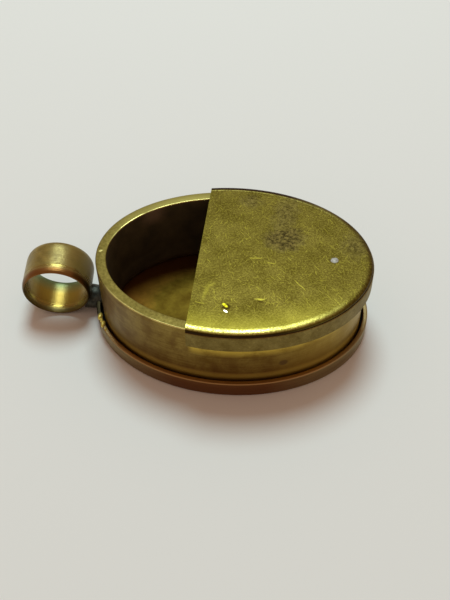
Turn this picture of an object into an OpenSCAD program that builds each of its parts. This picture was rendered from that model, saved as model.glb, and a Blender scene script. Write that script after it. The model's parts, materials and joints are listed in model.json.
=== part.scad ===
// Oval brass locket with a half cover, a base tray and a tube bail.
// Millimetres. +X runs along the oval away from the bail, +Y to the back, +Z up.
// The origin is the centre of the oval on the underside of the base tray.

/* [Body] */
// Length of the side band's oval over its outside
body_l = 30; // [20:0.5:45]
// Width of the side band's oval over its outside
body_w = 22; // [15:0.5:33]
// Thickness of the side band
wall_t = 1.2; // [0.6:0.1:2]
// Height of the side band, from the tray's floor to its flat top face
band_h = 9; // [6:0.25:14]

/* [Base tray] */
// Thickness of the tray's floor
floor_t = 0.45; // [0.3:0.05:1]
// Height of the tray over all, from its underside to the top of its rim
rim_h = 2.05; // [1.3:0.05:3]
// Thickness of the tray's upright rim
rim_t = 0.5; // [0.3:0.05:0.9]
// Open gap between the side band and the rim
tray_gap = 0.3; // [0.15:0.05:0.5]
// Height of the solder run at the bottom of that gap
run_h = 0.5; // [0.2:0.05:0.8]

/* [Half cover] */
// Distance from the oval's middle to the cover's straight edge, towards the bail
cover_cut = 3.4; // [1:0.1:6]
// Thickness of the cover plate
plate_t = 0.5; // [0.4:0.05:0.9]
// Height of the rounding along the plate's upper edge
plate_round = 0.4; // [0.15:0.05:0.4]
// Thickness of the skirt strip under the plate
skirt_t = 0.3; // [0.2:0.05:0.5]
// Height of the skirt strip
skirt_h = 2.1; // [1.2:0.1:3.5]
// How far the skirt stands out past the edge of the plate
skirt_step = 0.13; // [0.08:0.01:0.2]
// Free gap between the skirt and the side band, all round
skirt_gap = 0.25; // [0.1:0.05:0.4]
// Free gap between the plate and the top of the side band
seat_gap = 0.03; // [0.02:0.01:0.1]
// How far the loose cover lies off centre, away from the bail
cover_shift = 0.2; // [0:0.05:0.2]

/* [Bail] */
// Outer diameter of the tube ring
bail_od = 7.9; // [5:0.1:12]
// Diameter of the hole through the ring
bail_id = 7.2; // [4:0.1:11]
// Length of the ring along its hole
bail_len = 4.6; // [3:0.1:8]
// Length of the rounded lip at each end of the ring
bail_lip = 0.75; // [0.3:0.05:1]
// Nearest distance between the ring and the side band
bail_gap = 1.3; // [1:0.1:2.5]
// Swing of the ring's axis about the upright
bail_yaw = 5.4; // [0:0.2:8]
// Dip of the front end of the ring's axis
bail_pitch = 4; // [0:0.5:6]
// Width of the solder neck, along the ring
neck_w = 3; // [1.5:0.1:3.2]
// Height of the top of the solder neck, at its dip
neck_h = 2.9; // [2.3:0.1:4]

/* [Hidden] */

// Number of straight steps round each oval, and of steps in each small rounding
oval_steps = 144;
round_steps = 6;
// Overlap that makes a cut pass cleanly through a face
cut = 1;

band_top = floor_t + band_h;
plate_z = band_top + seat_gap;
skirt_in = skirt_gap;
skirt_out = skirt_gap + skirt_t;
plate_out = skirt_out - skirt_step;
rim_out = tray_gap + rim_t;
straight_edge_h = plate_t - plate_round;

bail_r = bail_od / 2;
bail_table_gap = 0.03;
bail_x = -(body_l / 2 + bail_gap + bail_r);
bail_z = bail_r * cos(bail_pitch) + (bail_len / 2 - bail_lip) * sin(bail_pitch) + bail_table_gap;
// Flat left at the very end of the ring, between the rounded lip and the hole
lip_flat = 0.06;

// The neck starts this far above the table and reaches this far under the ring's flank
neck_foot = 0.2;
neck_reach = 1;
// The neck climbs this much above its dip where it meets the side band
neck_climb = 0.5;

// Filler beads left on the rim beside the neck: angle round the oval and radius
filler_beads = [[197, 0.24], [199.5, 0.3], [202.5, 0.26], [205.5, 0.3], [208.5, 0.22]];

// Splash of solder on the plate: place, size and thickness
spot_x = 11.4;
spot_y = 0.2;
spot_r = 0.42;
spot_t = 0.06;
spot_outline = [[-1, -0.35], [-0.35, -0.95], [0.55, -0.8], [1, 0], [0.5, 0.85], [-0.1, 0.7], [-0.7, 0.95]];

// One point of the oval, at an angle and an offset measured square to its edge
function oval_point(angle, off) =
    let (
        a = body_l / 2,
        b = body_w / 2,
        n = [cos(angle) / a, sin(angle) / b]
    )
    [a * cos(angle), b * sin(angle)] + off * n / norm(n);

module oval(off) {
    polygon([for (i = [0:oval_steps - 1]) oval_point(i * 360 / oval_steps, off)]);
}

module oval_ring(inner, outer) {
    difference() {
        oval(outer);
        oval(inner);
    }
}

// Keeps the part of a flat shape that the half cover takes up
module covered_part() {
    translate([cover_shift, 0])
        intersection() {
            children();
            translate([-cover_cut - cover_shift, -body_w])
                square([body_l + cover_cut, 2 * body_w]);
        }
}

// Sets a shape that stands on the Z axis into the ring's place and tilt
module at_bail() {
    translate([bail_x, 0, bail_z])
        rotate([90 + bail_pitch, 0, bail_yaw])
            children();
}

// Pressed pan with an upright rim
module base_tray() {
    color("#7a5a35")
        difference() {
            linear_extrude(rim_h) oval(rim_out);
            translate([0, 0, floor_t])
                linear_extrude(rim_h) oval(tray_gap);
        }
}

// Thick strip bent into an oval, standing in the tray
module side_band() {
    color("#8f8242")
        translate([0, 0, floor_t])
            linear_extrude(band_h) oval_ring(-wall_t, 0);
}

// Solder that holds the band in the tray, at the bottom of the gap
module tray_solder() {
    color("#4d4330")
        translate([0, 0, floor_t])
            linear_extrude(run_h) oval_ring(0, tray_gap);
}

// Short length of tube with rounded lips
module bail_ring() {
    half = bail_len / 2;
    end_r = bail_id / 2 + lip_flat;
    color("#8a6d33")
        at_bail()
            rotate_extrude($fn = 96)
                polygon(concat(
                    [[bail_id / 2, -half]],
                    [for (i = [0:round_steps]) let (t = 90 * i / round_steps)
                        [end_r + (bail_r - end_r) * sin(t), -half + bail_lip * (1 - cos(t))]],
                    [for (i = [0:round_steps]) let (t = 90 - 90 * i / round_steps)
                        [end_r + (bail_r - end_r) * sin(t), half - bail_lip * (1 - cos(t))]],
                    [[bail_id / 2, half]]
                ));
}

// Lump of solder between the ring, the band's end and the tray's rim
module bail_neck() {
    end_x = -body_l / 2;
    ring_x = end_x - bail_gap;
    color("#3d3a30")
        difference() {
            translate([0, neck_w / 2, 0])
                rotate([90, 0, 0])
                    linear_extrude(neck_w)
                        polygon([
                            [ring_x - neck_reach, neck_h - 1.5],
                            [ring_x - neck_reach / 3, neck_foot],
                            [end_x + wall_t / 2, neck_foot],
                            [end_x + wall_t / 2, neck_h + neck_climb],
                            [end_x - bail_gap / 2, neck_h],
                            [ring_x - neck_reach, neck_h + neck_climb]
                        ]);
            at_bail()
                translate([0, 0, -bail_len])
                    cylinder(h = 2 * bail_len, r = bail_r, $fn = 96);
            linear_extrude(band_top + cut) oval(0);
            translate([0, 0, -cut])
                linear_extrude(rim_h + cut) oval(rim_out);
        }
}

// Beads of filler left on top of the rim beside the neck
module rim_filler() {
    color("#b5a24a")
        difference() {
            for (bead = filler_beads)
                translate(concat(oval_point(bead[0], rim_out - bead[1]), rim_h))
                    sphere(r = bead[1], $fn = 32);
            translate([-body_l, -body_w, -cut])
                cube([2 * body_l, 2 * body_w, rim_h + cut]);
        }
}

// Flat D-shaped plate with a rounded upper edge
module cover_plate() {
    color("#8c7f34")
        translate([0, 0, plate_z])
            hull()
                for (i = [0:round_steps]) let (t = 90 * i / round_steps) {
                    linear_extrude(straight_edge_h + plate_round * sin(t))
                        covered_part() oval(plate_out - plate_round * (1 - cos(t)));
                }
}

// Strip bent round the outside of the band, under the plate
module cover_skirt() {
    color("#5f532c")
        translate([0, 0, plate_z - skirt_h])
            linear_extrude(skirt_h)
                covered_part() oval_ring(skirt_in, skirt_out);
}

// Fine bead of solder in the corner between the plate's edge and the skirt
module cover_solder() {
    color("#33260f")
        translate([0, 0, plate_z])
            linear_extrude(straight_edge_h)
                covered_part() oval_ring(plate_out, (plate_out + skirt_out) / 2);
}

// Splash of solder on the cover
module solder_spot() {
    color("#a9a79c")
        translate([spot_x, spot_y, plate_z + plate_t])
            linear_extrude(spot_t)
                polygon(spot_r * spot_outline);
}

base_tray();
side_band();
tray_solder();
bail_ring();
bail_neck();
rim_filler();
cover_plate();
cover_skirt();
cover_solder();
solder_spot();
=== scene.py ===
"""Oval brass locket: a thick side band in a shallow tray, a lift-off half cover and a tube bail."""

import json
import math

import bpy
from mathutils import Matrix, Vector


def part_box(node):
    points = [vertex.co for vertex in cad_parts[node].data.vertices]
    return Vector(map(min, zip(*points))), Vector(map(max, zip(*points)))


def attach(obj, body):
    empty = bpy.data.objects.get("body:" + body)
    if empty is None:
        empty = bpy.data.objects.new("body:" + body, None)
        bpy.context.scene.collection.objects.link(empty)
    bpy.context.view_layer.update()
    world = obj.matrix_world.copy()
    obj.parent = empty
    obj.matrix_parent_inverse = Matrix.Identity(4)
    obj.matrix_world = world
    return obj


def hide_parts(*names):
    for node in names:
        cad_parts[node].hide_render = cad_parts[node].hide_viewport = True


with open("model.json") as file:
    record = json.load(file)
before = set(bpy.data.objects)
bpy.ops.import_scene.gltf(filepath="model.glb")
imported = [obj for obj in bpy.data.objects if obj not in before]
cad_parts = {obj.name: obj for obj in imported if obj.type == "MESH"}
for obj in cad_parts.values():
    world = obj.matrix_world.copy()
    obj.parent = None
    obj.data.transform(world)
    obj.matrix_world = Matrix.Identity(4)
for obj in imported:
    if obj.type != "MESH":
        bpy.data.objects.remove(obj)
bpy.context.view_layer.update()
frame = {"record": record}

MM = 0.001

# ---------------------------------------------------------------- sizes

# Taken from the frame. "out" is a distance outwards from the band's outer face.
band_low, band_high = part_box("side_band")
tray_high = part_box("base_tray")[1]
plate_low, plate_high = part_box("cover_plate")
skirt_low, skirt_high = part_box("cover_skirt")
run_low, run_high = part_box("tray_solder")
spot_low, spot_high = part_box("solder_spot")

half_l, half_w = band_high.x, band_high.y
band_foot, band_top = band_low.z, band_high.z
rim_out, rim_top = tray_high.y - half_w, tray_high.z
tray_gap = run_high.y - half_w
plate_out = plate_high.y - half_w
skirt_out = skirt_high.y - half_w
cover_shift = plate_high.x - half_l - plate_out
cover_cut = plate_low.x

hole = next(m for m in frame["record"]["mounts"] if m["name"] == "bail_hole")
ring_centre = Vector(hole["pos_m"])
ring_axis = Vector(hole["axis"])
ring_turn = ring_axis.to_track_quat("Z", "Y")
hole_r = hole["dims"]["r_mm"] * MM
ring_len = hole["dims"]["length_mm"] * MM
ring_end = ring_len / 2

# Sizes that no box shows
wall_t = 1.2 * MM
skirt_gap = 0.25 * MM
lip_len = 0.75 * MM
ring_r = hole_r + 0.35 * MM

# How finely the round shapes are drawn
OVAL_STEPS = 192
RING_STEPS = 128
CORNER_STEPS = 6
CUT_EXACT = 1e-7

# ---------------------------------------------------------------- colours and marks

# Colours of the metals as sRGB hex, by where they are
COVER_DARK, COVER_LIGHT, COVER_FLECK, COVER_PORE = "#483B0E", "#594B1B", "#7C6D2C", "#34290B"
# On the next line: a bright colour for scratches, an edge colour that is wear and a painted highlight, a
# near-white painted highlight for the dent's raised lip, and painted shade for the turned-down edge
COVER_BRIGHT, COVER_WORN_HIGHLIGHT, COVER_PAINTED_GLINT, COVER_SIDE_SHADE = "#B4A438", "#E2D472", "#FFF6E0", "#36260E"
# Bare brass in the dent, brightened as a painted highlight
COVER_BARE_HIGHLIGHT = "#D8CC28"
STAIN_DARK, STAIN_LIGHT = "#3A3014", "#948244"
# The low colour serves for tarnish, and low down also for painted shade; the last colour is a paler tone of
# the wall
WALL_DARK, WALL_LIGHT, WALL_LOW, WALL_PALE = "#74591F", "#9A823E", "#64441A", "#DCBC4C"
# The edge colour on the next line is for edges rubbed bright and painted with highlights
WALL_SPOT, EDGE_BRIGHT = "#4A3428", "#E8DC8A"
TOP_DARK, TOP_LIGHT, TOP_FAR = "#5C4E20", "#84733A", "#8A7C42"
INSIDE_DARK, INSIDE_LIGHT, INSIDE_PATCH = "#46402C", "#62583C", "#9A8468"
# On the next line, the edge colour is a painted highlight and the front colour a painted reflection of the
# shaded paper
RIM_DARK, RIM_LIGHT, RIM_EDGE_HIGHLIGHT, RIM_MIDDLE_REFLECTION = "#806C44", "#98845A", "#C09860", "#744C2C"
# Solder smear, darkened further as painted shade
RIM_SMEAR_AND_SHADE = "#30291A"
# The floor's colours are painted dark as shade
FLOOR_SHADE_DARK, FLOOR_SHADE_LIGHT, FLOOR_BROWN = "#3E2C08", "#503E10", "#6E4618"
SKIRT_DARK, SKIRT_LIGHT, SKIRT_FLECK, SKIRT_PORE = "#74622E", "#8A7840", "#A8944E", "#3C3016"
# The last colour on the next line is a painted highlight near the ring's front end
RING_DARK, RING_LIGHT, RING_LINE, RING_WORN_HIGHLIGHT = "#7C6A2C", "#9A8640", "#5A4820", "#C8B46A"
# The last colour on the next line is painted shade for the lower lip and the front of the bore
BORE, BORE_FAR, LIP, LIP_SHADE = "#8C701E", "#5E7048", "#84542A", "#3C2A14"
NECK_DARK, NECK_LIGHT = "#34352E", "#5C5D52"
# Nearly black: painted shade at the bottom of the gap
RUN_DARK, RUN_LIGHT = "#1C1812", "#2A241A"
# Dark: painted shade in the crease under the cover plate's edge
LINE_DARK, LINE_LIGHT = "#241808", "#4A3418"
FILLER_DARK, FILLER_LIGHT = "#C8B238", "#EFE27C"
SPLASH_DARK, SPLASH_LIGHT = "#8E8C84", "#B4B2A8"
PAPER = "#E6E7E2"
# Colours of the light and the room, already linear
LIGHT_COLOUR = (0.72, 0.936, 1.0)
ROOM_COLOUR = (1.0, 0.67, 0.514, 1.0)

# Marks on the cover in millimetres: x, y, length, width, and the angle from +X in degrees
SCRATCHES = (
    (2.9, -0.3, 1.3, 0.10, 3),
    (4.6, -0.9, 1.1, 0.09, -8),
    (7.6, -3.6, 1.2, 0.07, -52),
    (8.2, -4.2, 1.0, 0.07, -50),
    (-2.3, -7.4, 1.1, 0.07, -12),
    (3.8, -6.3, 1.0, 0.24, 2))
SOFT_RUBS = ((-1.95, -5.7, 2.2, 0.4, 80), (-1.55, -4.8, 1.0, 0.35, 40))
# Bare brass in a dent, brightened as a painted highlight
BARE_DENT_HIGHLIGHT = (0.3, -7.45, 0.66, 0.3, -35)
# A near-white painted highlight on the dent's raised lip
PAINTED_GLINT = (0.44, -8.3, 0.44, 0.19, -30)
# Stains on the cover: the same five values, how soft and how ragged the edge is, and how strongly it shows
STAINS = (
    ((5.8, 3.0, 4.2, 3.4, 20), 0.6, 2.4, 1.0),
    ((5.6, 6.9, 2.2, 6.2, -6), 1.2, 3.0, 0.65),
    ((1.4, 8.9, 2.2, 1.7, 0), 1.2, 2.6, 0.6),
    ((13.7, 2.7, 2.6, 3.4, 0), 1.3, 2.6, 0.6))
# Dents pressed into the cover in millimetres: x, y, depth (a raised burr is negative) and reach
DENTS = ((0.45, -7.6, 0.12, 0.4), (0.3, -8.0, -0.05, 0.35), (3.75, -6.4, 0.04, 0.3), (4.1, -6.42, 0.04, 0.3))
# Beads of filler on the rim: angle round the oval in degrees, and radius in millimetres
BEADS = ((198.2, 0.34), (201.3, 0.2), (204.2, 0.31), (208.2, 0.16))


# ---------------------------------------------------------------- modelling helpers

def deselect():
    if bpy.context.object and bpy.context.object.mode != "OBJECT":
        bpy.ops.object.mode_set(mode="OBJECT")
    bpy.ops.object.select_all(action="DESELECT")


def take_up(piece):
    """Makes a piece the one that the next operators act on."""
    deselect()
    piece.select_set(True)
    bpy.context.view_layer.objects.active = piece


def tidy_mesh(piece, smooth_angle=35):
    """Merges doubles, turns the faces outwards and smooths all but the sharp edges."""
    take_up(piece)
    bpy.ops.object.mode_set(mode="EDIT")
    bpy.ops.mesh.select_all(action="SELECT")
    bpy.ops.mesh.remove_doubles(threshold=0.0005 * MM)
    bpy.ops.mesh.normals_make_consistent(inside=False)
    bpy.ops.object.mode_set(mode="OBJECT")
    bpy.ops.object.shade_smooth_by_angle(angle=math.radians(smooth_angle))


def set_in_place(piece):
    """Puts the object's place, turn and scale into its mesh."""
    take_up(piece)
    bpy.ops.object.transform_apply(location=True, rotation=True, scale=True)


def lay_on_ring_axis(piece):
    """Moves a piece that was made upright at the origin to the ring's centre, along the ring's axis."""
    piece.rotation_mode = "QUATERNION"
    piece.rotation_quaternion = ring_turn
    piece.location = ring_centre
    set_in_place(piece)


def apply_modifier(piece, kind, **settings):
    take_up(piece)
    modifier = piece.modifiers.new(kind.title(), kind)
    for name, value in settings.items():
        setattr(modifier, name, value)
    bpy.ops.object.modifier_apply(modifier=modifier.name)


def soften(piece, voxel, rounds):
    """Melts the parts of a lump into one skin and smooths it."""
    apply_modifier(piece, "REMESH", mode="VOXEL", voxel_size=voxel)
    apply_modifier(piece, "SMOOTH", factor=0.5, iterations=rounds)


def waver(piece, size, depth):
    """Gives hand-made metal its slight unevenness."""
    cloud = bpy.data.textures.new(piece.name + "_waver", "CLOUDS")
    cloud.noise_scale = size
    cloud.noise_depth = 1
    apply_modifier(piece, "DISPLACE", texture=cloud, texture_coords="LOCAL", strength=depth, mid_level=0.5)


def stepped(profile, step):
    """Adds points along a profile, so that no stretch is longer than a step."""
    points = [profile[0]]
    for (o1, z1), (o2, z2) in zip(profile, profile[1:]):
        count = max(1, math.ceil(math.hypot(o2 - o1, z2 - z1) / step))
        points += [(o1 + (o2 - o1) * k / count, z1 + (z2 - z1) * k / count) for k in range(1, count + 1)]
    return points


def corner(centre, radii, start, end, steps=CORNER_STEPS):
    """Points of a rounded corner in a profile, from one angle to another in degrees."""
    turn = [math.radians(start + (end - start) * k / steps) for k in range(steps + 1)]
    return [(centre[0] + radii[0] * math.cos(t), centre[1] + radii[1] * math.sin(t)) for t in turn]


def pull_loop(name, profile, radii_at, steps, filled=False):
    """Pulls a loop along a profile of (out, height) points. radii_at gives its two radii for an out."""
    deselect()
    bpy.ops.mesh.primitive_circle_add(vertices=steps, radius=1, fill_type="NGON" if filled else "NOTHING")
    piece = bpy.context.object
    piece.name = name
    bpy.ops.object.mode_set(mode="EDIT")
    out, height = profile[0]
    rx, ry = radii_at(out)
    bpy.ops.transform.resize(value=(rx, ry, 1), center_override=(0, 0, 0))
    bpy.ops.transform.translate(value=(0, 0, height))
    for out, next_height in profile[1:]:
        next_rx, next_ry = radii_at(out)
        bpy.ops.mesh.extrude_region_move(TRANSFORM_OT_translate={"value": (0, 0, next_height - height)})
        bpy.ops.transform.resize(value=(next_rx / rx, next_ry / ry, 1), center_override=(0, 0, next_height))
        rx, ry, height = next_rx, next_ry, next_height
    bpy.ops.object.mode_set(mode="OBJECT")
    return piece


def pull_oval(name, profile, filled=False):
    """Pulls the locket's oval along a profile of (out from the band, height) points."""
    return pull_loop(name, profile, lambda out: (half_l + out, half_w + out), OVAL_STEPS, filled)


def cut_straight(piece):
    """Moves a cover piece to where the cover lies and cuts it off along the straight edge."""
    take_up(piece)
    bpy.ops.object.mode_set(mode="EDIT")
    bpy.ops.mesh.select_all(action="SELECT")
    bpy.ops.transform.translate(value=(cover_shift, 0, 0))
    bpy.ops.mesh.bisect(plane_co=(cover_cut, 0, 0), plane_no=(1, 0, 0), clear_inner=True, use_fill=True,
                        threshold=CUT_EXACT)
    bpy.ops.object.mode_set(mode="OBJECT")


def press(piece, x, y, top, depth, reach):
    """Presses a dent into a flat top: splits the faces round it finer, then pushes their middle down."""
    place_at = Vector((x, y, top))
    halvings = 2
    take_up(piece)
    bpy.ops.object.mode_set(mode="EDIT")
    bpy.ops.mesh.select_mode(type="FACE")
    for _ in range(halvings):
        bpy.ops.mesh.select_all(action="DESELECT")
        bpy.ops.object.mode_set(mode="OBJECT")
        for face in piece.data.polygons:
            on_top = abs(face.center.z - top) < 0.02 * MM
            face.select = on_top and (face.center - place_at).length < 1.6 * reach
        bpy.ops.object.mode_set(mode="EDIT")
        bpy.ops.mesh.subdivide(number_cuts=1)
    bpy.ops.mesh.select_mode(type="VERT")
    bpy.ops.mesh.select_all(action="DESELECT")
    bpy.ops.object.mode_set(mode="OBJECT")
    for vertex in piece.data.vertices:
        vertex.select = (vertex.co - place_at).length < 0.25 * reach
    bpy.ops.object.mode_set(mode="EDIT")
    bpy.ops.transform.translate(value=(0, 0, -depth), use_proportional_edit=True,
                                proportional_edit_falloff="SMOOTH", proportional_size=reach)
    bpy.ops.object.mode_set(mode="OBJECT")


# ---------------------------------------------------------------- material helpers

def linear(hex_colour):
    """An sRGB hex colour as the linear colour that Blender works in."""
    channels = [int(hex_colour[i:i + 2], 16) / 255 for i in (1, 3, 5)]
    return tuple(c / 12.92 if c <= 0.04045 else ((c + 0.055) / 1.055) ** 2.4 for c in channels) + (1.0,)


def per_mm(size_mm):
    """The scale of a pattern whose features are this many millimetres apart."""
    return 1 / (size_mm * MM)


def add(tree, kind, links=None, **settings):
    """Adds a node with its settings, and links or sets its inputs."""
    node = tree.nodes.new("ShaderNode" + kind)
    for name, value in settings.items():
        setattr(node, name, value)
    for name, value in (links or {}).items():
        if isinstance(value, bpy.types.NodeSocket):
            tree.links.new(value, node.inputs[name])
        else:
            node.inputs[name].default_value = value
    return node


def start_material(name):
    material = bpy.data.materials.new(name)
    material.use_nodes = True
    tree = material.node_tree
    tree.nodes.clear()
    return material, tree, add(tree, "TexCoord").outputs["Object"]


def finish_material(tree, colour, roughness, height, bump_mm, metallic=1.0):
    bump = add(tree, "Bump", {"Height": height, "Distance": bump_mm * MM, "Strength": 1.0})
    shader = add(tree, "BsdfPrincipled", {"Base Color": colour, "Roughness": roughness, "Metallic": metallic,
                                          "Normal": bump.outputs["Normal"]})
    add(tree, "OutputMaterial", {"Surface": shader.outputs["BSDF"]})


def arithmetic(tree, operation, first, second=0.5):
    return add(tree, "Math", {0: first, 1: second}, operation=operation).outputs["Value"]


def times(tree, first, *others):
    for other in others:
        first = arithmetic(tree, "MULTIPLY", first, other)
    return first


def plus(tree, first, second):
    return arithmetic(tree, "ADD", first, second)


def less(tree, first, second):
    return arithmetic(tree, "SUBTRACT", first, second)


def most(tree, first, *others):
    for other in others:
        first = arithmetic(tree, "MAXIMUM", first, other)
    return first


def level(tree, value, low, high, to_low, to_high):
    """Maps one range of a value to another, and stays at its ends beyond them."""
    links = {"Value": value, "From Min": low, "From Max": high, "To Min": to_low, "To Max": to_high}
    return add(tree, "MapRange", links).outputs["Result"]


def ramp(tree, value, start, end):
    """0 at one level of a value and 1 at another."""
    return level(tree, value, start, end, 0.0, 1.0)


def ramp_mm(tree, value, start, end):
    """The same between two places in millimetres."""
    return ramp(tree, value, start * MM, end * MM)


def blend(tree, amount, first, second):
    links = {"Factor": amount, 6: first, 7: second}
    return add(tree, "Mix", links, data_type="RGBA", blend_type="MIX").outputs[2]


def coat(tree, colour, hex_colour, *amounts):
    """Lays one more colour over a surface, as strongly as all the amounts multiplied."""
    return blend(tree, times(tree, *amounts), colour, linear(hex_colour))


def two_tone(tree, value, start, end, first, second):
    return blend(tree, ramp(tree, value, start, end), linear(first), linear(second))


def axis(tree, coords, name):
    return add(tree, "SeparateXYZ", {"Vector": coords}).outputs[name]


def length_of(tree, vector):
    return add(tree, "VectorMath", {0: vector}, operation="LENGTH").outputs["Value"]


def local_to(tree, coords, place_at, size, turn=(0, 0, 0)):
    """Coordinates measured from a place, along turned axes and in units of a size."""
    links = {"Vector": coords, "Location": place_at, "Rotation": turn, "Scale": size}
    return add(tree, "Mapping", links, vector_type="TEXTURE").outputs["Vector"]


def noise(tree, coords, size_mm, detail, roughness, distortion=0.0):
    links = {"Vector": coords, "Scale": per_mm(size_mm), "Detail": detail,
             "Roughness": roughness, "Distortion": distortion}
    return add(tree, "TexNoise", links).outputs["Fac"]


def stretched(tree, coords, size_mm, detail, roughness, turn=0.0):
    """A noise whose features have three different sizes, in millimetres."""
    local = local_to(tree, coords, (0, 0, 0), tuple(s * MM for s in size_mm), (0, 0, math.radians(turn)))
    links = {"Vector": local, "Scale": 1.0, "Detail": detail, "Roughness": roughness}
    return add(tree, "TexNoise", links).outputs["Fac"]


def drawn_streaks(tree, coords, width_mm, length_mm=9.0):
    """Level lines round a strip, left by drawing and filing."""
    return stretched(tree, coords, (length_mm, length_mm, width_mm), 3.0, 0.6)


def scratches(tree, coords, angle, length_mm, width_mm, crest):
    """Fine straight marks: of a noise stretched along one direction, only the crests show."""
    lines = stretched(tree, coords, (length_mm, width_mm, length_mm), 1.0, 0.4, angle)
    return ramp(tree, lines, crest, crest + 0.05)


def mark(tree, coords, x, y, length, width, angle, soft, ragged=0.0):
    """A mask that is 1 inside one oval mark (sizes in millimetres) and fades out at its edge."""
    if ragged:
        links = {"Vector": coords, "Scale": per_mm(0.9), "Detail": 5.0, "Roughness": 0.7}
        wander = add(tree, "TexNoise", links).outputs["Color"]
        shift = add(tree, "VectorMath", {0: wander, 1: (0.5, 0.5, 0.5)}, operation="SUBTRACT")
        shift = add(tree, "VectorMath", {0: shift.outputs["Vector"], "Scale": ragged * MM}, operation="SCALE")
        coords = add(tree, "VectorMath", {0: coords, 1: shift.outputs["Vector"]}).outputs["Vector"]
    local = local_to(tree, coords, (x * MM, y * MM, 0), (length * MM / 2, width * MM / 2, 1),
                     (0, 0, math.radians(angle)))
    return ramp(tree, length_of(tree, local), 1.0 + soft / 2, 1.0 - soft / 2)


def oval_reach(tree, coords, shift=0.0, inset=0.0):
    """1 on the band's outer face, or on an oval set in from it, and less than 1 inside."""
    return length_of(tree, local_to(tree, coords, (shift, 0, 0), (half_l - inset, half_w - inset, 1e6)))


# ---------------------------------------------------------------- materials

def cover_scratches(tree, coords):
    """How much of the cover is scratched bright: a haze of fine lines, six deep ones and two soft rubs."""
    haze = [scratches(tree, coords, angle, length, 0.08, 0.69)
            for angle, length in ((15, 1.4), (-48, 1.3), (62, 1.5), (104, 1.2))]
    deep = [mark(tree, coords, *scratch, soft=0.6) for scratch in SCRATCHES]
    rubs = [mark(tree, coords, *rub, soft=1.4, ragged=0.3) for rub in SOFT_RUBS]
    return most(tree, times(tree, most(tree, *haze), 0.3), times(tree, most(tree, *deep), 0.5),
                times(tree, most(tree, *rubs), 0.2))


def cover_edge(tree, coords, cloud, grain):
    """Where the cover's rounded edge is rubbed bright and brightened further as a painted highlight, and
    where painted shade darkens it as it turns down and along the far edge.
    """
    across, depth, height = (axis(tree, coords, name) for name in "XYZ")
    reach = oval_reach(tree, coords, cover_shift)
    top_mm = plate_high.z / MM
    # Rubbed bright edge, brightened further as a painted highlight where the light catches it
    worn_and_highlight = times(tree, ramp(tree, cloud, 0.2, 0.55), ramp_mm(tree, across, 13.0, 4.0),
                 level(tree, grain, 0.35, 0.55, 0.3, 1.0),
                 ramp(tree, plus(tree, reach, times(tree, grain, 0.02)), 0.975, 0.998),
                 ramp_mm(tree, height, top_mm - 0.2, top_mm - 0.08))
    # Painted shade along the far edge, where the rounding would catch the light
    far_edge = times(tree, ramp_mm(tree, depth, 0, 2.0), ramp(tree, reach, 0.971, 0.985))
    side = most(tree, ramp_mm(tree, height, top_mm - 0.1, top_mm - 0.2), far_edge)
    return worn_and_highlight, times(tree, side, level(tree, across, 6.0 * MM, 11.0 * MM, 1.0, 0.35))


def cover_brass():
    """Brass sheet rubbed to an olive satin, with fine scratches and a dull, pitted stain."""
    material, tree, coords = start_material("brass_sheet_satin_rubbed")
    cloud = noise(tree, coords, 2.4, 5.0, 0.6)
    grain = noise(tree, coords, 0.2, 3.0, 0.7)
    colour = two_tone(tree, cloud, 0.35, 0.65, COVER_DARK, COVER_LIGHT)
    colour = coat(tree, colour, COVER_FLECK, ramp(tree, grain, 0.45, 0.7), 0.7)
    colour = coat(tree, colour, COVER_PORE, ramp(tree, grain, 0.45, 0.28), 0.35)

    bright = cover_scratches(tree, coords)
    colour = coat(tree, colour, COVER_BRIGHT, bright)
    # Bare brass in the dent, brightened as a painted highlight
    colour = coat(tree, colour, COVER_BARE_HIGHLIGHT, mark(tree, coords, *BARE_DENT_HIGHLIGHT, soft=0.6))
    # A near-white painted highlight on the dent's raised lip
    painted_glint = mark(tree, coords, *PAINTED_GLINT, soft=0.6)
    colour = coat(tree, colour, COVER_PAINTED_GLINT, painted_glint)

    pits = noise(tree, coords, 0.34, 4.0, 0.8)
    dull = most(tree, *(times(tree, mark(tree, coords, *place_at, soft, ragged), strength)
                        for place_at, soft, ragged, strength in STAINS))
    stained = two_tone(tree, pits, 0.42, 0.6, STAIN_DARK, STAIN_LIGHT)
    colour = blend(tree, times(tree, dull, 0.7), colour, stained)

    # The front, coloured lighter towards its edge, less so towards the right end
    front_lighter = times(tree, ramp_mm(tree, axis(tree, coords, "Y"), -3.0, -7.5),
                    ramp_mm(tree, axis(tree, coords, "X"), 14.0, 7.0),
                    ramp(tree, oval_reach(tree, coords, cover_shift), 0.72, 0.98))
    colour = coat(tree, colour, COVER_BRIGHT, front_lighter, 0.3)
    worn_and_highlight, side = cover_edge(tree, coords, cloud, grain)
    # The front edge: rubbed bright, and brightened further as a painted highlight
    colour = coat(tree, colour, COVER_WORN_HIGHLIGHT, worn_and_highlight)
    # Painted shade on the turned-down edge and along the far edge
    colour = coat(tree, colour, COVER_SIDE_SHADE, side)

    roughness = less(tree, level(tree, cloud, 0.3, 0.7, 0.5, 0.42), times(tree, worn_and_highlight, 0.18))
    roughness = less(tree, roughness, times(tree, painted_glint, 0.2))
    roughness = plus(tree, roughness, times(tree, dull, 0.2))
    height = less(tree, grain, times(tree, bright, 0.4))
    height = plus(tree, height, times(tree, dull, pits, 3.0))
    finish_material(tree, colour, roughness, height, 0.02, less(tree, 1.0, times(tree, dull, 0.1)))
    return material


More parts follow.
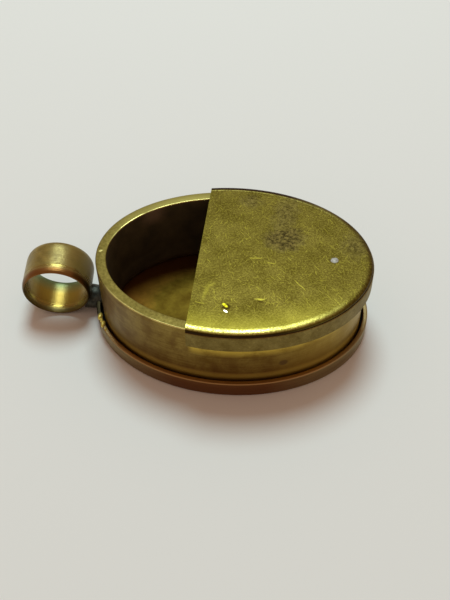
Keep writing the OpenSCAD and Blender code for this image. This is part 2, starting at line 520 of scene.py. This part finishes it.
def band_outside(tree, coords, cloud, grain, streaks):
    """The band's outer face: brown tarnish, darker low down as a painted reflection of the shaded paper, and
    paler under the cover, towards the right end and in a line near the foot.
    """
    across, depth, height = (axis(tree, coords, name) for name in "XYZ")
    tone = plus(tree, times(tree, streaks, 0.35), times(tree, cloud, 0.65))
    colour = two_tone(tree, tone, 0.4, 0.6, WALL_DARK, WALL_LIGHT)
    blotch = noise(tree, coords, 3.6, 4.0, 0.6, 0.6)
    colour = coat(tree, colour, WALL_LOW, ramp(tree, blotch, 0.48, 0.62), 0.5)
    colour = coat(tree, colour, WALL_LOW, ramp(tree, grain, 0.47, 0.3), 0.5)
    smudge = stretched(tree, coords, (1.6, 1.6, 9.0), 3.0, 0.5)
    colour = coat(tree, colour, WALL_LOW, ramp(tree, smudge, 0.5, 0.8), 0.5)
    colour = coat(tree, colour, WALL_DARK, ramp(tree, cloud, 0.35, 0.7), 0.3)
    # Darker low down: a painted reflection of the shaded paper
    colour = coat(tree, colour, WALL_LOW, ramp_mm(tree, height, 6.0, 2.0), 0.4)

    under_cover = times(tree, ramp_mm(tree, height, 5.6, 6.8), ramp(tree, cloud, 0.2, 0.5),
                        ramp(tree, across, cover_cut, cover_cut + 0.6 * MM))
    right_end = times(tree, ramp_mm(tree, across, 5.0, 12.0), 0.35)
    # Paler under the cover and towards the right end
    colour = coat(tree, colour, WALL_PALE, most(tree, under_cover, right_end), 0.9)
    foot_line = times(tree, ramp_mm(tree, height, 1.9, 2.3), ramp_mm(tree, height, 3.1, 2.7))
    colour = coat(tree, colour, WALL_PALE, foot_line, 0.3)

    spot = length_of(tree, local_to(tree, coords, (6.73 * MM, 0, 4.17 * MM), (0.45 * MM, 1, 0.4 * MM)))
    return coat(tree, colour, WALL_SPOT, ramp(tree, spot, 1.2, 0.8), ramp_mm(tree, depth, 0, -1.0), 0.55)


def band_arris(tree, coords, cloud, top, inner_reach):
    """The edges of the band's top, rubbed bright and painted with highlights: outer edge at the front, inner
    edge at the back, and one nick.
    """
    depth = axis(tree, coords, "Y")
    outer_edge = ramp(tree, oval_reach(tree, coords), 0.9885, 0.9925)
    front = times(tree, outer_edge, ramp_mm(tree, depth, -5.0, -8.0))
    back = times(tree, ramp(tree, inner_reach, 1.012, 1.007), ramp_mm(tree, depth, 1.0, 5.0))
    edges = times(tree, most(tree, front, back), top, ramp(tree, cloud, 0.3, 0.5))
    return most(tree, edges, times(tree, mark(tree, coords, -14.5, -0.3, 0.4, 0.22, 35, 0.5), top))


def band_brass():
    """Drawn brass strip: level draw lines outside, brown tarnish with painted shade low down, a rubbed top
    whose edges are rubbed bright with painted highlights, and a dark inside.
    """
    material, tree, coords = start_material("brass_strip_drawn_tarnished")
    cloud = noise(tree, coords, 2.2, 5.0, 0.6)
    grain = noise(tree, coords, 0.28, 3.0, 0.7)
    streaks = drawn_streaks(tree, coords, 0.25, 5.0)
    height = axis(tree, coords, "Z")
    inner_reach = oval_reach(tree, coords, 0.0, wall_t)
    colour = band_outside(tree, coords, cloud, grain, streaks)

    top = ramp(tree, height, band_top - 0.12 * MM, band_top - 0.06 * MM)
    top_colour = two_tone(tree, grain, 0.3, 0.7, TOP_DARK, TOP_LIGHT)
    top_colour = coat(tree, top_colour, TOP_FAR, ramp_mm(tree, axis(tree, coords, "Y"), 2.0, 9.0))
    colour = blend(tree, top, colour, top_colour)
    arris = band_arris(tree, coords, cloud, top, inner_reach)
    # Edges rubbed bright, with painted highlights where they catch the light
    colour = coat(tree, colour, EDGE_BRIGHT, arris)

    inside = times(tree, ramp(tree, inner_reach, 1.03, 1.01), less(tree, 1.0, top))
    colour = blend(tree, inside, colour, two_tone(tree, cloud, 0.35, 0.7, INSIDE_DARK, INSIDE_LIGHT))
    patch = mark(tree, coords, -9.9, 6.9, 2.4, 1.8, 20, 1.4, 1.6)
    colour = coat(tree, colour, INSIDE_PATCH, patch, ramp_mm(tree, height, 7.0, 8.4), inside, 0.6)

    roughness = plus(tree, level(tree, cloud, 0.3, 0.7, 0.42, 0.34), times(tree, inside, 0.12))
    roughness = plus(tree, roughness, times(tree, top, 0.2))
    roughness = less(tree, roughness, times(tree, arris, 0.35))
    metallic = less(tree, 1.0, times(tree, inside, 0.75))
    metallic = less(tree, metallic, times(tree, ramp_mm(tree, height, 3.2, 2.4), 0.6))
    bump = plus(tree, times(tree, streaks, 0.2), times(tree, grain, 0.5))
    finish_material(tree, colour, roughness, bump, 0.012, metallic)
    return material


def tray_brass():
    """Pressed brass pan: a brown, tarnished rim, redder in the middle as a painted reflection of the shaded
    paper, with a painted highlight along its top edge fading out at the ends and a solder smear by the bail
    darkened as painted shade, and a yellower floor inside, painted dark as shade.
    """
    material, tree, coords = start_material("brass_pan_pressed_tarnished")
    cloud = noise(tree, coords, 2.0, 5.0, 0.6)
    grain = noise(tree, coords, 0.3, 3.0, 0.7)
    streaks = drawn_streaks(tree, coords, 0.35)
    reach = oval_reach(tree, coords)
    from_middle = arithmetic(tree, "ABSOLUTE", axis(tree, coords, "X"))
    colour = two_tone(tree, streaks, 0.35, 0.65, RIM_DARK, RIM_LIGHT)
    # Redder in the middle: a painted reflection of the shaded paper
    colour = coat(tree, colour, RIM_MIDDLE_REFLECTION, ramp_mm(tree, from_middle, 11.0, 5.0))
    # A painted highlight along the rim's top edge, fading out at the ends
    edge = ramp(tree, axis(tree, coords, "Z"), rim_top - 0.16 * MM, rim_top - 0.04 * MM)
    colour = coat(tree, colour, RIM_EDGE_HIGHLIGHT, edge, 0.7, ramp_mm(tree, from_middle, 14.4, 10.0))
    # A solder smear by the bail, darkened further as painted shade
    colour = coat(tree, colour, RIM_SMEAR_AND_SHADE, mark(tree, coords, -15.6, -1.1, 2.6, 6.2, 0, 0.5, 0.5))

    # The floor inside is painted dark as shade, and browner towards the walls
    shaded_floor_colour = two_tone(tree, cloud, 0.35, 0.65, FLOOR_SHADE_DARK, FLOOR_SHADE_LIGHT)
    brown = ramp(tree, plus(tree, reach, times(tree, cloud, 0.3)), 0.75, 1.0)
    shaded_floor_colour = coat(tree, shaded_floor_colour, FLOOR_BROWN, brown)
    colour = blend(tree, ramp(tree, reach, 0.96, 0.93), colour, shaded_floor_colour)
    bump = plus(tree, times(tree, streaks, 0.4), times(tree, grain, 0.6))
    finish_material(tree, colour, level(tree, cloud, 0.3, 0.7, 0.46, 0.36), bump, 0.012)
    return material


def skirt_brass():
    """Thin brass strip gone dull and greyish, with small brighter flecks."""
    material, tree, coords = start_material("brass_strip_dull")
    cloud = noise(tree, coords, 1.4, 5.0, 0.65)
    grain = noise(tree, coords, 0.25, 3.0, 0.7)
    streaks = drawn_streaks(tree, coords, 0.3, 6.0)
    colour = two_tone(tree, cloud, 0.35, 0.65, SKIRT_DARK, SKIRT_LIGHT)
    colour = coat(tree, colour, SKIRT_FLECK, ramp(tree, grain, 0.55, 0.75), 0.6)
    colour = coat(tree, colour, SKIRT_PORE, ramp(tree, grain, 0.42, 0.25), 0.6)
    bump = plus(tree, times(tree, streaks, 0.5), times(tree, grain, 0.5))
    finish_material(tree, colour, level(tree, cloud, 0.3, 0.7, 0.56, 0.46), bump, 0.012)
    return material


def ring_brass():
    """Turned brass tube: fine lines round it, redder at its rounded lips and yellower in its bore, with a
    painted highlight near the front end and painted shade on the lower lip and at the front of the bore.
    """
    material, tree, coords = start_material("brass_tube_turned_polished")
    turned = local_to(tree, coords, tuple(ring_centre), (1, 1, 1), tuple(ring_turn.to_euler()))
    cloud = noise(tree, coords, 1.3, 4.0, 0.6)
    lines = drawn_streaks(tree, turned, 0.12, 5.0)
    along = axis(tree, turned, "Z")
    radial = add(tree, "VectorMath", {0: turned, 1: (1, 1, 0)}, operation="MULTIPLY").outputs["Vector"]
    radius = length_of(tree, radial)
    colour = two_tone(tree, cloud, 0.35, 0.65, RING_DARK, RING_LIGHT)
    colour = coat(tree, colour, RING_LINE, ramp(tree, lines, 0.55, 0.75), 0.4)

    near_end = ramp(tree, along, ring_end - 1.0 * MM, ring_end - 0.5 * MM)
    bore = ramp(tree, radius, hole_r + 0.06 * MM, hole_r + 0.02 * MM)
    bore_colour = two_tone(tree, along, -0.5 * MM, -2.2 * MM, BORE, BORE_FAR)
    # Painted shade at the front of the bore
    bore_colour = coat(tree, bore_colour, LIP_SHADE, near_end)
    colour = blend(tree, bore, colour, bore_colour)

    upper = ramp(tree, axis(tree, coords, "Z"), ring_centre.z + 0.5 * MM, ring_centre.z + 2.5 * MM)
    lip = times(tree, near_end, ramp(tree, radius, hole_r + 0.01 * MM, hole_r + 0.05 * MM))
    # The lip's lower half is painted shade
    lip_colour = blend(tree, upper, linear(LIP_SHADE), linear(LIP))
    colour = blend(tree, times(tree, lip, 0.85), colour, lip_colour)
    behind_lip = ramp(tree, along, ring_end - 1.35 * MM, ring_end - 1.05 * MM)
    polished_and_highlight = times(tree, behind_lip, less(tree, 1.0, lip))
    # A band near the front end, smoother and brightened as a painted highlight
    colour = coat(tree, colour, RING_WORN_HIGHLIGHT, polished_and_highlight, 0.25)
    band_side = ramp(tree, axis(tree, coords, "X"), ring_centre.x + 0.6 * MM, ring_centre.x + 2.6 * MM)
    outside = less(tree, 1.0, bore)
    colour = coat(tree, colour, RING_LINE, band_side, ramp(tree, cloud, 0.35, 0.6), outside, 0.5)

    roughness = less(tree, level(tree, cloud, 0.3, 0.7, 0.4, 0.32), times(tree, bore, 0.12))
    roughness = less(tree, roughness, times(tree, polished_and_highlight, 0.12))
    roughness = plus(tree, roughness, times(tree, near_end, bore, 0.3))
    bare = most(tree, times(tree, bore, 0.35), lip, polished_and_highlight)
    metallic = plus(tree, 0.45, times(tree, bare, 0.45))
    finish_material(tree, colour, roughness, plus(tree, lines, times(tree, cloud, 0.5)), 0.035, metallic)
    return material


def dark_solder():
    """Soft solder gone dark: lumpy and dull."""
    material, tree, coords = start_material("solder_lump_oxidised")
    cloud = noise(tree, coords, 0.7, 5.0, 0.65)
    grain = noise(tree, coords, 0.2, 3.0, 0.7)
    colour = two_tone(tree, cloud, 0.4, 0.65, NECK_DARK, NECK_LIGHT)
    bump = plus(tree, cloud, times(tree, grain, 0.4))
    finish_material(tree, colour, level(tree, cloud, 0.3, 0.7, 0.6, 0.45), bump, 0.05, 0.8)
    return material


def plain_metal(name, dark, light, roughness, metallic):
    """Small plain pieces: two tones of one metal with a fine grain."""
    material, tree, coords = start_material(name)
    cloud = noise(tree, coords, 0.4, 4.0, 0.6)
    finish_material(tree, two_tone(tree, cloud, 0.35, 0.65, dark, light), roughness, cloud, 0.01, metallic)
    return material


# ---------------------------------------------------------------- pieces

def make_tray():
    """Pressed pan: a flat floor and an upright rim with softly rounded edges."""
    foot_r, edge_r, inner_r = 0.25 * MM, 0.09 * MM, 0.15 * MM
    profile = [(rim_out - foot_r, 0)]
    profile += corner((rim_out - foot_r, foot_r), (foot_r, foot_r), -90, 0)[1:]
    profile += corner((rim_out - edge_r, rim_top - edge_r), (edge_r, edge_r), 0, 90, 3)
    profile += corner((tray_gap + edge_r, rim_top - edge_r), (edge_r, edge_r), 90, 180, 3)
    profile += corner((tray_gap - inner_r, band_foot + inner_r), (inner_r, inner_r), 0, -90, 3)
    tray = pull_oval("tray_pan", profile, filled=True)
    tidy_mesh(tray)
    return tray


def make_band():
    """Thick strip bent into an oval, its top filed flat and its edges broken."""
    edge = 0.12 * MM
    chamfer_w, chamfer_h = 0.15 * MM, 0.22 * MM
    profile = [(0, band_foot)] + corner((-edge, band_top - edge), (edge, edge), 0, 90, 4)
    profile += corner((-wall_t + edge, band_top - edge), (edge, edge), 90, 180, 4)
    profile += [(-wall_t, band_foot + chamfer_h), (-wall_t + chamfer_w, band_foot), (0, band_foot)]
    band = pull_oval("side_band_strip", stepped(profile, 0.6 * MM))
    tidy_mesh(band)
    return band


def make_tray_solder():
    """Solder run at the bottom of the gap, sunk in the middle."""
    top, foot = run_high.z, run_low.z
    profile = [(0, foot), (tray_gap, foot), (tray_gap, top), (tray_gap * 0.5, top - tray_gap * 0.35),
               (0, top), (0, foot)]
    run = pull_oval("tray_solder_run", profile)
    tidy_mesh(run)
    return run


def make_plate():
    """Flat plate with its upper edge filed round and a few small dents, cut straight across the oval."""
    low, top = plate_low.z, plate_high.z
    burr = 0.03 * MM
    round_w, round_h = 0.65 * MM, 0.3 * MM
    ring_step = 0.5 * MM
    smallest = 1.1 * MM
    profile = [(plate_out - burr, low), (plate_out, low + burr)]
    profile += corner((plate_out - round_w, top - round_h), (round_w, round_h), 0, 90, 8)
    inner = plate_out - round_w
    while inner > smallest - half_w:
        inner -= ring_step
        profile.append((inner, top))
    plate = pull_oval("cover_plate_sheet", profile, filled=True)
    cut_straight(plate)
    for x, y, depth, reach in DENTS:
        press(plate, x * MM, y * MM, top, depth * MM, reach * MM)
    tidy_mesh(plate)
    return plate


def make_skirt():
    """Thin strip round the outside of the band."""
    low, top = skirt_low.z, skirt_high.z
    edge = 0.06 * MM
    profile = [(skirt_gap, low), (skirt_out - edge, low), (skirt_out, low + edge), (skirt_out, top - edge),
               (skirt_out - edge, top), (skirt_gap, top), (skirt_gap, low)]
    skirt = pull_oval("cover_skirt_strip", stepped(profile, 0.5 * MM))
    cut_straight(skirt)
    tidy_mesh(skirt)
    return skirt


def make_cover_solder():
    """Fine bead in the corner between the plate's edge and the skirt's top, coloured dark as painted shade in
    the crease.
    """
    foot = skirt_high.z
    r = (skirt_out - plate_out) / 2
    root = plate_out - 0.02 * MM
    profile = [(root, foot), (plate_out + r, foot), (plate_out + 0.6 * r, foot + 0.6 * r), (root, foot + r),
               (root, foot)]
    bead = pull_oval("cover_solder_line", profile)
    cut_straight(bead)
    tidy_mesh(bead)
    return bead


def make_ring():
    """Short tube with rounded lips, tilted as it was soldered."""
    end_r = hole_r + 0.06 * MM
    lip = (ring_r - end_r, lip_len)
    bevel = [(hole_r, ring_end - 0.05 * MM), (hole_r + 0.03 * MM, ring_end)]
    profile = [(r, -along) for r, along in bevel]
    profile += corner((end_r, lip_len - ring_end), lip, -90, 0, 10)
    profile += corner((end_r, ring_end - lip_len), lip, 0, 90, 10)
    profile += [*reversed(bevel), profile[0]]
    ring = pull_loop("bail_tube", stepped(profile, 0.5 * MM), lambda radius: (radius, radius), RING_STEPS)
    lay_on_ring_axis(ring)
    tidy_mesh(ring)
    return ring


def make_neck():
    """Lump of solder drawn in at the waist between ring and band, and kept out of the ring's bore."""
    start, end = -half_l - 2.25 * MM, -half_l + 0.12 * MM
    foot = 0.12 * MM
    sunk_in_ring = 0.12 * MM
    steps = 16

    def size_at(t):
        """Half width, half height and middle height, from the ring (0) to the band (1)."""
        flare = abs(2 * t - 1) ** 2.2
        return (1.42 + 0.1 * flare) * MM, (1.35 + 0.25 * flare) * MM, (1.45 + 0.2 * flare) * MM

    deselect()
    bpy.ops.mesh.primitive_circle_add(vertices=48, radius=1, fill_type="NGON",
                                      rotation=(0, math.radians(90), 0))
    neck = bpy.context.object
    neck.name = "bail_solder_neck"
    set_in_place(neck)
    bpy.ops.object.mode_set(mode="EDIT")
    wide, tall, mid = size_at(0)
    bpy.ops.transform.resize(value=(1, wide, tall), center_override=(0, 0, 0))
    bpy.ops.transform.translate(value=(start, 0, mid))
    x = start
    for k in range(1, steps + 1):
        next_x = start + (end - start) * k / steps
        next_wide, next_tall, next_mid = size_at(k / steps)
        bpy.ops.mesh.extrude_region_move(TRANSFORM_OT_translate={"value": (next_x - x, 0, next_mid - mid)})
        bpy.ops.transform.resize(value=(1, next_wide / wide, next_tall / tall),
                                 center_override=(next_x, 0, next_mid))
        x, wide, tall, mid = next_x, next_wide, next_tall, next_mid
    bpy.ops.mesh.select_all(action="SELECT")
    bpy.ops.mesh.bisect(plane_co=(0, 0, foot), plane_no=(0, 0, 1), clear_inner=True, use_fill=True,
                        threshold=CUT_EXACT)
    bpy.ops.object.mode_set(mode="OBJECT")
    soften(neck, 0.08 * MM, 6)
    waver(neck, 0.6 * MM, 0.12 * MM)

    deselect()
    bpy.ops.mesh.primitive_cylinder_add(vertices=96, radius=ring_r - sunk_in_ring, depth=3 * ring_len)
    core = bpy.context.object
    lay_on_ring_axis(core)
    apply_modifier(neck, "BOOLEAN", object=core, operation="DIFFERENCE", solver="EXACT")
    bpy.data.objects.remove(core)
    tidy_mesh(neck, 60)
    return neck


def make_filler():
    """Beads of yellow filler left along the top of the rim, melted into each other."""
    out = rim_out - 0.25 * MM
    beads = []
    for angle, radius in BEADS:
        turn = math.radians(angle)
        place_at = ((half_l + out) * math.cos(turn), (half_w + out) * math.sin(turn), rim_top - 0.01 * MM)
        deselect()
        bpy.ops.mesh.primitive_uv_sphere_add(segments=24, ring_count=12, radius=radius * MM,
                                             location=place_at)
        bpy.context.object.scale = (0.8, 1.6, 0.8)
        beads.append(bpy.context.object)
    deselect()
    for bead in beads:
        bead.select_set(True)
    bpy.context.view_layer.objects.active = beads[0]
    bpy.ops.object.join()
    filler = bpy.context.object
    filler.name = "rim_filler_beads"
    set_in_place(filler)
    soften(filler, 0.04 * MM, 4)
    tidy_mesh(filler, 60)
    return filler


def make_spot():
    """Flat splash of solder with a soft edge."""
    centre = (spot_low + spot_high) / 2
    deselect()
    bpy.ops.mesh.primitive_uv_sphere_add(segments=24, ring_count=12, radius=1,
                                         location=(centre.x, centre.y, spot_low.z))
    spot = bpy.context.object
    spot.name = "solder_splash"
    spot.scale = (0.42 * MM, 0.41 * MM, 0.055 * MM)
    set_in_place(spot)
    waver(spot, 0.3 * MM, 0.16 * MM)
    tidy_mesh(spot, 60)
    return spot


def place(piece, body, node, material):
    piece.data.materials.clear()
    piece.data.materials.append(material)
    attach(piece, body)
    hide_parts(node)


place(make_tray(), "case", "base_tray", tray_brass())
place(make_band(), "case", "side_band", band_brass())
# Soft solder at the bottom of the gap, coloured nearly black as painted shade
place(make_tray_solder(), "case", "tray_solder",
      plain_metal("solder_run_painted_shade", RUN_DARK, RUN_LIGHT, 0.6, 0.6))
place(make_ring(), "case", "bail_ring", ring_brass())
place(make_neck(), "case", "bail_neck", dark_solder())
# Brazing filler, still bright as it ran
place(make_filler(), "case", "rim_filler",
      plain_metal("brazing_filler_bright", FILLER_DARK, FILLER_LIGHT, 0.35, 0.4))
place(make_plate(), "cover", "cover_plate", cover_brass())
place(make_skirt(), "cover", "cover_skirt", skirt_brass())
# Soft solder in the corner under the plate's edge, coloured dark as painted shade in the crease
place(make_cover_solder(), "cover", "cover_solder",
      plain_metal("solder_line_painted_shade", LINE_DARK, LINE_LIGHT, 0.55, 0.7))
# Soft solder, grey as it set
place(make_spot(), "cover", "solder_spot",
      plain_metal("solder_splash_grey", SPLASH_DARK, SPLASH_LIGHT, 0.6, 0.3))


# ---------------------------------------------------------------- floor, light and camera

def make_floor():
    """Pale paper that the locket lies on."""
    deselect()
    bpy.ops.mesh.primitive_plane_add(size=1.2, location=(0, 0, 0))
    floor = bpy.context.object
    floor.name = "paper_floor"
    # Matte white paper, left plain as a ground for the locket
    material, tree, _ = start_material("paper_white_matte")
    shader = add(tree, "BsdfPrincipled", {"Base Color": linear(PAPER), "Roughness": 0.9,
                                          "Specular IOR Level": 0.2})
    add(tree, "OutputMaterial", {"Surface": shader.outputs["BSDF"]})
    floor.data.materials.append(material)


def make_light():
    """One soft round light high behind the locket, and an even pale room."""
    towards = Vector((-0.6, 4.7, 9.9)).normalized()
    distance, across = 0.55, 0.24
    data = bpy.data.lights.new("soft_box", "AREA")
    data.shape = "DISK"
    data.size = across
    data.energy = 2.08
    data.color = LIGHT_COLOUR
    box = bpy.data.objects.new("soft_box", data)
    bpy.context.scene.collection.objects.link(box)
    box.location = towards * distance
    box.rotation_mode = "QUATERNION"
    box.rotation_quaternion = towards.to_track_quat("Z", "Y")
    world = bpy.data.worlds.new("pale_room")
    world.use_nodes = True
    background = world.node_tree.nodes["Background"]
    background.inputs["Color"].default_value = ROOM_COLOUR
    background.inputs["Strength"].default_value = 0.43
    bpy.context.scene.world = world


def make_camera():
    """Looks down at the front of the locket from a little to its right."""
    azimuth, elevation, roll = (math.radians(v) for v in (7.53, 47.96, -1.35))
    distance, aside, above = 100.28 * MM, -0.72 * MM, 1.68 * MM
    back = Vector((math.sin(azimuth) * math.cos(elevation), -math.cos(azimuth) * math.cos(elevation),
                   math.sin(elevation)))
    right = Vector((math.cos(azimuth), math.sin(azimuth), 0))
    up = back.cross(right)
    right, up = (math.cos(roll) * right + math.sin(roll) * up, math.cos(roll) * up - math.sin(roll) * right)
    data = bpy.data.cameras.new("camera")
    data.lens = 50.77
    data.clip_start, data.clip_end = 0.005, 10
    camera = bpy.data.objects.new("camera", data)
    bpy.context.scene.collection.objects.link(camera)
    stand_at = back * distance + right * aside + up * above
    camera.matrix_world = Matrix((
        (right.x, up.x, back.x, stand_at.x),
        (right.y, up.y, back.y, stand_at.y),
        (right.z, up.z, back.z, stand_at.z),
        (0, 0, 0, 1)))
    bpy.context.scene.camera = camera


make_floor()
make_light()
make_camera()
bpy.context.scene.view_settings.view_transform = "Standard"
